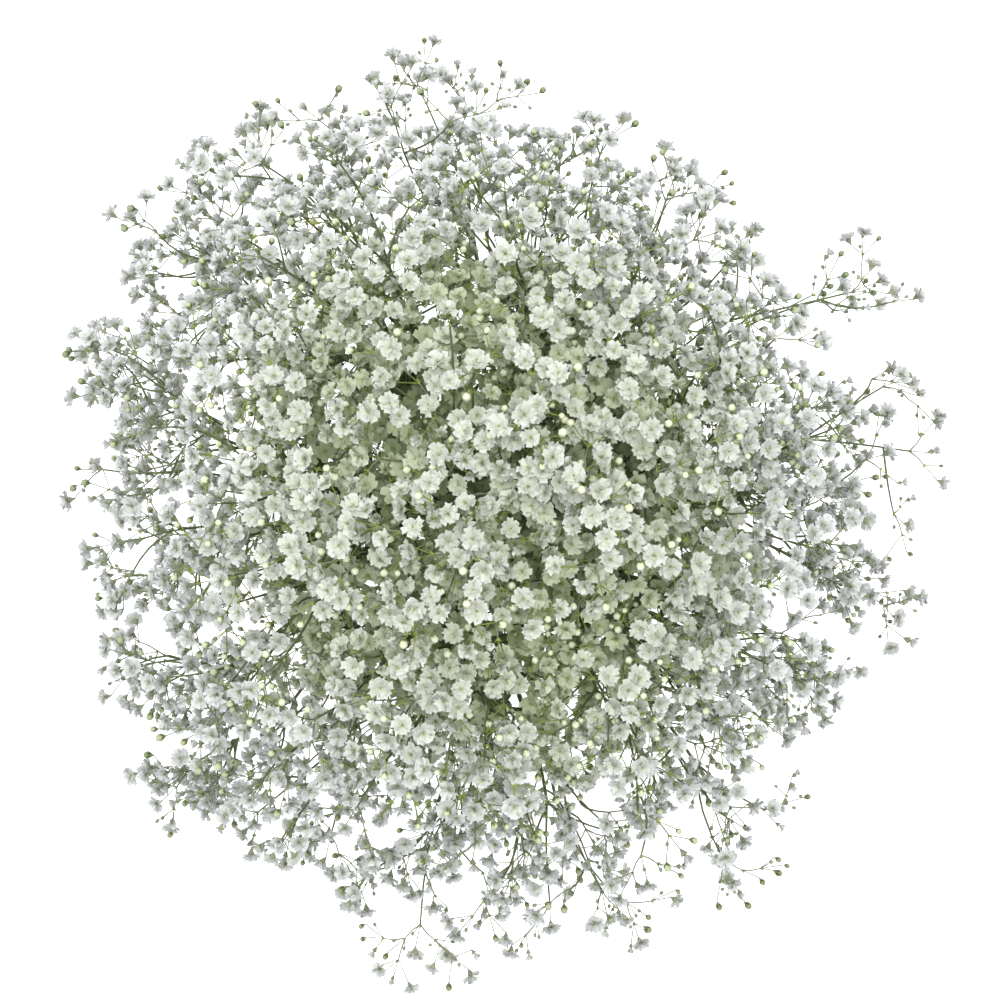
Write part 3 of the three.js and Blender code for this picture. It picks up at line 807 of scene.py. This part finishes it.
def petal_material():
    """White petals, green-cream at the foot, with fine lengthwise streaks; light shines through.
    Painted shade makes them darker and greener deep inside the head and faintly lilac at its rim.
    """
    material, nodes, shader, coordinates = new_material("petal_white", 0.7, gloss=0.2)
    on_petal, _, up_petal = map_on_shape(nodes)
    along = ramp_node(nodes, up_petal, [
        (0.0, (0.36, 0.43, 0.13)), (0.12, (0.6, 0.67, 0.36)), (0.34, (0.85, 0.88, 0.79)),
        (1.0, (0.92, 0.94, 0.94))])
    stretched = nodes.new("ShaderNodeMapping")
    stretched.inputs["Scale"].default_value = (9, 1.2, 1)
    join(on_petal, stretched.inputs["Vector"])
    streaks = noise_node(nodes, stretched.outputs["Vector"], scale=3, detail=2)
    shade = ramp_node(nodes, streaks, [(0.3, (0.86, 0.88, 0.84)), (0.6, (1, 1, 1))])
    # Painted shade: petals deep inside the head darker and greener, petals over its middle creamy,
    # petals at its rim faintly lilac.
    shade_tinted = painted_shade_ramp(nodes, [
        (0.0, (0.74, 0.81, 0.545)), (0.36, (0.93, 0.948, 0.8)), (0.5, (1, 0.987, 0.965)),
        (0.72, (0.98, 0.966, 1)), (1.0, (0.98, 0.961, 1))])
    colour = multiplied(nodes, multiplied(nodes, along, shade), shade_tinted)
    join(colour, shader.inputs["Base Color"])
    add_relief(nodes, shader, coordinates, scale=1500, detail=2, depth=0.0002)
    through = nodes.new("ShaderNodeBsdfTranslucent")
    join(colour, through.inputs["Color"])
    both = nodes.new("ShaderNodeMixShader")
    both.inputs["Fac"].default_value = 0.47
    join(shader.outputs["BSDF"], both.inputs[1])
    join(through.outputs["BSDF"], both.inputs[2])
    join(both.outputs["Shader"], nodes["Material Output"].inputs["Surface"])
    return material


def bud_material():
    """The rolled cream tip of a bud between five green points. Deep inside the head a bud is painted
    darker and greener as shade, and near the rim it is darker and greener.
    """
    material, nodes, shader, coordinates = new_material("bud_cream", 0.65, gloss=0.2)
    _, round_bud, up_bud = map_on_shape(nodes)
    points = nodes.new("ShaderNodeMath")
    points.operation = "PINGPONG"
    points.inputs[1].default_value = 0.1
    join(round_bud, points.inputs[0])
    above = nodes.new("ShaderNodeMath")
    above.operation = "MULTIPLY_ADD"
    above.inputs[1].default_value = -2.6
    join(points.outputs["Value"], above.inputs[0])
    join(up_bud, above.inputs[2])
    plain = ramp_node(nodes, above.outputs["Value"], [
        (0.1, (0.12, 0.17, 0.05)), (0.32, (0.26, 0.32, 0.11)), (0.44, (0.62, 0.66, 0.42)),
        (0.95, (0.76, 0.78, 0.62))])
    # Painted shade on the buds: darker and greener deep inside the head, and darker and greener
    # again towards its rim.
    bud_shade_tint = painted_shade_ramp(nodes, [
        (0.0, (0.6, 0.7, 0.5)), (0.4, (1, 1, 1)), (0.65, (0.95, 0.97, 0.93)),
        (1.0, (0.42, 0.47, 0.38))])
    join(multiplied(nodes, plain, bud_shade_tint), shader.inputs["Base Color"])
    add_relief(nodes, shader, coordinates, scale=900, detail=2, depth=0.0004)
    return material


PETALS = [petal_material(), bud_material()]
CREAM_BUD = 1


def new_shape():
    """An empty bmesh with the map and the painted shade that the petal material reads."""
    shape = bmesh.new()
    shape.loops.layers.uv.new("petal")
    shape.verts.layers.float.new("painted_shade")
    return shape


def add_round(flower, petals, edge, length, rise, height, chance):
    """One round of petals: a thin closed fan, pleated so that each petal stands out as a lobe."""
    corners = petals * len(edge)
    made = bmesh.ops.create_cone(flower, cap_ends=True, cap_tris=True, segments=corners,
                                 radius1=1, radius2=0, depth=2)["verts"]
    lengths = [length * chance.uniform(*PETAL_LENGTHS) for _ in range(petals)]
    rises = [rise + chance.uniform(*PETAL_RISES) for _ in range(petals)]
    first_turn = chance.uniform(0, math.tau)
    edge_gap = edge[0][1]
    on_petal = {}
    for vert in made:
        if vert.co.xy.length < 0.5:
            on_petal[vert] = (0.5, 0)
            vert.co = (0, 0, height + math.copysign(PETAL_THICKNESS / 2, vert.co.z))
            continue
        corner = round(math.atan2(vert.co.y, vert.co.x) / (math.tau / corners)) % corners
        petal, part = divmod(corner, len(edge))
        share, length_share = edge[part]
        reach = length_share * lengths[petal] * chance.uniform(*EDGE_LENGTHS)
        drop = GAP_DROP if part == 0 else 0
        lift = math.radians(rises[petal] + chance.uniform(*EDGE_RISES) - drop)
        turn = first_turn + math.tau * (petal + share) / petals + chance.uniform(*EDGE_TURNS)
        across = reach * math.cos(lift)
        on_petal[vert] = (share, length_share)
        vert.co = (across * math.cos(turn), across * math.sin(turn), height + reach * math.sin(lift))
    layer = flower.loops.layers.uv["petal"]
    for face in {face for vert in made for face in vert.link_faces}:
        face.smooth = True
        for loop in face.loops:
            loop[layer].uv = on_petal[loop.vert]
        for border in face.edges:
            places = [on_petal[vert][1] for vert in border.verts]
            border.smooth = min(places) == 0 and max(places) > edge_gap


def flower_mesh(tuft, seed):
    chance = random.Random(seed)
    flower = new_shape()
    for petals in ROUNDS[tuft]:
        add_round(flower, *petals, chance)
    return shape_mesh(flower, tuft)


def bud_mesh():
    bud = new_shape()
    made = bmesh.ops.create_uvsphere(bud, u_segments=7, v_segments=4, radius=BUD_RADIUS)["verts"]
    bmesh.ops.scale(bud, verts=made, vec=(1, 1, BUD_STRETCH))
    bmesh.ops.translate(bud, verts=made, vec=(0, 0, BUD_LIFT))
    dress(bud.faces, CREAM_BUD, is_smooth=True)
    layer = bud.loops.layers.uv["petal"]
    for face in bud.faces:
        for loop in face.loops:
            turn = math.atan2(loop.vert.co.y, loop.vert.co.x) / math.tau
            seam = 1 if face.calc_center_median().y < 0 and turn > 0.25 else 0
            loop[layer].uv = (turn - seam, (loop.vert.co.z + 1.3) / 3.3)
    return shape_mesh(bud, "bud")


SHAPES = {tuft: [flower_mesh(tuft, SEED + i) for i in range(SHAPE_COUNTS[tuft])] for tuft in ROUNDS}
SHAPES["bud"] = [bud_mesh()]


def add_copy(piece, mesh, placing, painted_shade=None):
    """Adds a copy of a small mesh to a piece at its place."""
    copy = mesh.copy()
    copy.transform(placing)
    if painted_shade is not None:
        copy.attributes["painted_shade"].data.foreach_set("value", [painted_shade] * len(copy.vertices))
    append_mesh(piece, copy)


def placing_of(flower):
    turned = flower["facing"].to_track_quat("Z", "Y") @ Quaternion((0, 0, 1), flower["spin"])
    return Matrix.LocRotScale(flower["at"], turned, Vector.Fill(3, flower["size"]))


def new_object(name, data):
    made = bpy.data.objects.new(name, data)
    bpy.context.scene.collection.objects.link(made)
    return made


def finish_piece(piece, name, materials, node):
    """Scales a piece to metres and sets it in the frame for the CAD node that it stands for."""
    bmesh.ops.translate(piece, verts=piece.verts, vec=AXIS)
    bmesh.ops.scale(piece, verts=piece.verts, vec=(MM, MM, MM))
    made = new_object(name, shape_mesh(piece, name))
    for material in materials:
        made.data.materials.append(material)
    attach(made, "root")
    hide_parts(node)


for stem in stems:
    petals = new_shape()
    for flower in stem["flowers"]:
        shapes = SHAPES[flower["tuft"]]
        shape = shapes[int(flower["shape"] * len(shapes))]
        add_copy(petals, shape, placing_of(flower), flower["painted_shade"])
    finish_piece(petals, stem["name"] + "_flowers", PETALS, stem["name"])


# ---- The green of each stem ----
# The stalk with its twigs, its narrow keeled leaves, two tiny pointed scales at every fork, the
# threads that bear the flowers and the five-sided bell that holds each one, all one growth.

PEDICEL_RADIUS = 0.16
PEDICEL_FLARE = 1.3
CALYX_FOOT = 2.2
# The radius of each five-sided bell at its mouth, and its length.
CALYX_SIZES = {"open": (1.45, 2.9), "half": (1.55, 2.9), "bud": (1.45, 2.5)}
JOINT_SWELL = 1.3
JOINT_STRETCH = 1.6
SCALE_LENGTH = 2.0
BIG_SCALE_LENGTH = 3.2
SCALE_BREADTH = 0.45
SCALE_THICKNESS = 0.45
YOUNG_BUD_SIZE = (0.8, 0.8, 1.05)
LEAF_WIDTH = 4.4
LEAF_THICKNESS = 0.3
# Flower threads are yellow-green over the head's middle and dull near its rim.
YOUNG_WITHIN = 0.5


def cone_mesh(sides, foot, top, length, middle, thickness, green):
    """A flat-sided cone, from the radius of its foot to that of its top, thinned along Y."""
    cone = bmesh.new()
    made = bmesh.ops.create_cone(cone, cap_ends=True, segments=sides, radius1=foot, radius2=top,
                                 depth=length)["verts"]
    bmesh.ops.translate(cone, verts=made, vec=(0, 0, middle))
    bmesh.ops.scale(cone, verts=made, vec=(1, thickness, 1))
    dress(cone.faces, green, is_smooth=False)
    return shape_mesh(cone, "cone")


def ball_mesh(green):
    ball = bmesh.new()
    bmesh.ops.create_icosphere(ball, subdivisions=1, radius=1)
    dress(ball.faces, green, is_smooth=True)
    return shape_mesh(ball, "ball")


def leaf_mesh():
    """A leaf of unit length along Z: narrow, pointed, folded along its keel and arched back."""
    leaf = bmesh.new()
    bmesh.ops.create_grid(leaf, x_segments=2, y_segments=6, size=1)
    for vert in leaf.verts:
        along = (vert.co.y + 1) / 2
        half = 0.5 * LEAF_WIDTH / LEAF_LENGTH * (0.25 + math.sin(math.pi * along ** 0.8))
        sideways = vert.co.x * half * (1 - along ** 4)
        vert.co = (sideways, abs(sideways) * 0.5 - 0.14 * along ** 2, along)
    bmesh.ops.solidify(leaf, geom=leaf.faces, thickness=LEAF_THICKNESS / LEAF_LENGTH)
    bmesh.ops.remove_doubles(leaf, verts=leaf.verts, dist=1e-5)
    bmesh.ops.recalc_face_normals(leaf, faces=leaf.faces)
    dress(leaf.faces, TWIG_GREEN, is_smooth=True)
    return shape_mesh(leaf, "leaf")


CALYXES = {kind: cone_mesh(5, 0, radius, length, -length / 2, 1, CALYX_GREEN)
           for kind, (radius, length) in CALYX_SIZES.items()}
SCALE_SHAPE = cone_mesh(4, 0.5, 0, 1, 0.5, SCALE_THICKNESS, YOUNG_GREEN)
JOINT_SHAPE = ball_mesh(TWIG_GREEN)
YOUNG_BUD_SHAPE = ball_mesh(CALYX_GREEN)
LEAF_SHAPE = leaf_mesh()


def pedicel_line(flower):
    """The thread-like stalk of a flower, from its fork to the foot of its calyx."""
    neck = flower["at"] - flower["facing"] * CALYX_FOOT * flower["size"]
    return [flower["fork"], neck], [PEDICEL_RADIUS, PEDICEL_RADIUS * PEDICEL_FLARE]


def add_green_copy(piece, mesh, place, direction, size):
    """Adds a small green shape, turned from Z to a direction."""
    turned = direction.to_track_quat("Z", "Y")
    add_copy(piece, mesh, Matrix.LocRotScale(place, turned, Vector(size)))


def add_scales(piece, joint, axis, side, length):
    breadth = length * SCALE_BREADTH
    for way in (-1, 1):
        direction = (axis * 0.9 + side * way).normalized()
        add_green_copy(piece, SCALE_SHAPE, joint, direction, (breadth, breadth, length))


for stem in stems:
    green = bmesh.new()
    add_stalk(green, stem["stalk"], stem["top_radius"])
    add_tubes(green, stem["twigs"], TWIG_ROUNDNESS, TWIG_GREEN)
    threads = [pedicel_line(flower) for flower in stem["flowers"]]
    threads += [([fork, bud], [PEDICEL_RADIUS, PEDICEL_RADIUS])
                for fork, bud, axis in stem["young_buds"]]
    older = [line for line in threads if rim_share(line[0][0]) > YOUNG_WITHIN]
    young = [line for line in threads if rim_share(line[0][0]) <= YOUNG_WITHIN]
    add_tubes(green, stem["fine_twigs"] + older, FINE_ROUNDNESS, THREAD_GREEN)
    add_tubes(green, young, FINE_ROUNDNESS, YOUNG_GREEN)
    for fork, bud, axis in stem["young_buds"]:
        add_green_copy(green, YOUNG_BUD_SHAPE, bud, axis, YOUNG_BUD_SIZE)
    for flower in stem["flowers"]:
        add_copy(green, CALYXES[flower["kind"]], placing_of(flower))
    for joint, axis, side in stem["joints"]:
        add_scales(green, joint, axis, side, SCALE_LENGTH)
    for joint, axis, radius in stem["big_joints"]:
        swollen = JOINT_SWELL * radius
        stretched = JOINT_STRETCH * JOINT_SWELL * radius
        add_green_copy(green, JOINT_SHAPE, joint, axis, (swollen, swollen, stretched))
        side = axis.to_track_quat("Z", "Y") @ Vector((1, 0, 0))
        add_scales(green, joint, axis, side, BIG_SCALE_LENGTH)
    for place, direction, length in stem["leaves"]:
        add_green_copy(green, LEAF_SHAPE, place, direction, (length, length, length))
    finish_piece(green, stem["name"] + "_green", GREENS, stem["name"])


# ---- The twine tie ----
# Natural jute, three plies laid together, wound four times round the waist. It is knotted at the
# front, and its two cut ends hang below the knot.

TWINE_RADIUS = 1.1
TWINE_TURNS = 4
TIE_CLEARANCE = 0.35
PLY_RADIUS = 0.56
PLY_OFFSET = 0.6
LAY_LENGTH = 6
POINTS_A_LAY = 8
# The corners of each hanging end: to its side, forward of the winding, and up from the waist.
TWINE_END = [(0, 0.8, 0), (5, 3.6, -1.5), (10, 4.6, -8), (11.5, 4.2, -18.2)]
POINTS_A_CORNER = 12
KNOT_POINTS = 60
KNOT_HALF_WIDTH = 2.1
KNOT_HALF_HEIGHT = 1.7
KNOT_LOOPS = 0.9
KNOT_DROP = 0.4


def twine_material():
    """Jute: brown fibres in two shades, dull and a little hairy."""
    material, nodes, shader, coordinates = new_material("jute_twine", 0.95, gloss=0.15)
    fibres = noise_node(nodes, coordinates, scale=1100, detail=4)
    colour = ramp_node(nodes, fibres, [
        (0.3, (0.20, 0.125, 0.055)), (0.7, (0.50, 0.36, 0.19))])
    join(colour, shader.inputs["Base Color"])
    add_relief(nodes, shader, coordinates, scale=3800, detail=3, depth=0.0003)
    return material


def smooth_path(corners, steps):
    """Points of a smooth curve through a few corners."""
    ends = [2 * corners[0] - corners[1], *corners, 2 * corners[-1] - corners[-2]]
    made = []
    for before, start, end, after in zip(ends, ends[1:], ends[2:], ends[3:]):
        for i in range(steps):
            t = i / steps
            made.append(0.5 * (2 * start + (end - before) * t
                               + (2 * before - 5 * start + 4 * end - after) * t ** 2
                               + (3 * start - before - 3 * end + after) * t ** 3))
    return [*made, corners[-1]]


def add_twine(piece, path):
    """Three plies twisted round a path."""
    plies = [[], [], []]
    run = 0
    for number, point in enumerate(path):
        before, after = path[max(number - 1, 0)], path[min(number + 1, len(path) - 1)]
        run += (point - before).length
        across, along = frame_across(unit(np.array(after - before)))
        for ply, points in enumerate(plies):
            turn = math.tau * (run / LAY_LENGTH + ply / len(plies))
            points.append(point + PLY_OFFSET * Vector(between(across, along, turn)))
    lines = [(points, [PLY_RADIUS] * len(points)) for points in plies]
    add_tubes(piece, lines, TWIG_ROUNDNESS, 0)


tie = bmesh.new()
band_half = TWINE_TURNS * TWINE_RADIUS
outer = RINGS[2]
wound_radius = math.hypot(outer["waist"], outer["lean"] * band_half) + STALK_RADIUS + TIE_CLEARANCE
cord_radius = wound_radius + TWINE_RADIUS
points_a_turn = round(math.tau * cord_radius / LAY_LENGTH * POINTS_A_LAY)
winding = []
for step in range(TWINE_TURNS * points_a_turn + 1):
    turned = step / points_a_turn
    height = WAIST_HEIGHT + (turned / TWINE_TURNS - 0.5) * 2 * (band_half - TWINE_RADIUS)
    winding.append(Vector(polar(-90 + 360 * turned, cord_radius, height)))
add_twine(tie, winding)
face = wound_radius + 2 * TWINE_RADIUS
for side in (-1, 1):
    corners = [Vector((side * out, -face - forward, up)) for out, forward, up in TWINE_END]
    path = smooth_path(corners, POINTS_A_CORNER)
    add_twine(tie, [point + Vector((0, 0, WAIST_HEIGHT)) for point in path])
knot = []
for step in range(KNOT_POINTS + 1):
    turn = math.tau * step / KNOT_POINTS
    knot.append(Vector((KNOT_HALF_WIDTH * math.sin(turn) + KNOT_LOOPS * math.sin(2 * turn),
                        -face - KNOT_LOOPS - KNOT_LOOPS * math.cos(3 * turn),
                        WAIST_HEIGHT + KNOT_HALF_HEIGHT * math.cos(2 * turn) - KNOT_DROP)))
add_twine(tie, knot)
finish_piece(tie, "twine_winding", [twine_material()], "twine_tie")


# ---- The floor, the light and the camera ----
# A wide white table that glows faintly, as a light table does, under a soft overhead light. The
# camera looks straight down on the head.

FLOOR_SIZE = 3.0
TABLE_WHITE = (0.9, 0.9, 0.9, 1)
TABLE_GLOW = 0.88
SKY_COLOUR = (0.96, 0.98, 1, 1)
SKY_STRENGTH = 0.54
LENS = 57.6
SENSOR_WIDTH = 36
CAMERA_PLACE = (-0.0088, 0.0061, 0.895)

floor_shape = bmesh.new()
bmesh.ops.create_grid(floor_shape, x_segments=1, y_segments=1, size=FLOOR_SIZE / 2)
floor = new_object("floor", shape_mesh(floor_shape, "floor"))
table, _, table_shader, _ = new_material("white_table", 0.8, gloss=0.5)
table_shader.inputs["Base Color"].default_value = TABLE_WHITE
table_shader.inputs["Emission Color"].default_value = (1, 1, 1, 1)
table_shader.inputs["Emission Strength"].default_value = TABLE_GLOW
floor.data.materials.append(table)

world = bpy.data.worlds.new("studio")
world.use_nodes = True
sky = world.node_tree.nodes["Background"]
sky.inputs["Color"].default_value = SKY_COLOUR
sky.inputs["Strength"].default_value = SKY_STRENGTH
bpy.context.scene.world = world


def add_area_light(name, place, aim, size, power):
    light = bpy.data.lights.new(name, "AREA")
    light.shape = "DISK"
    light.size = size
    light.energy = power
    holder = new_object(name, light)
    holder.location = place
    holder.rotation_euler = (Vector(aim) - Vector(place)).to_track_quat("-Z", "Y").to_euler()


add_area_light("overhead", place=(0.03, 0.06, 1.5), aim=(0, 0, 0.3), size=0.5, power=12.7)
add_area_light("fill", place=(-0.8, 0.6, 1.2), aim=(0, 0, 0.2), size=1.0, power=6)

camera = bpy.data.cameras.new("camera")
camera.lens = LENS
camera.sensor_width = SENSOR_WIDTH
camera_holder = new_object("camera", camera)
camera_holder.location = CAMERA_PLACE
bpy.context.scene.camera = camera_holder
bpy.context.scene.view_settings.view_transform = "Standard"
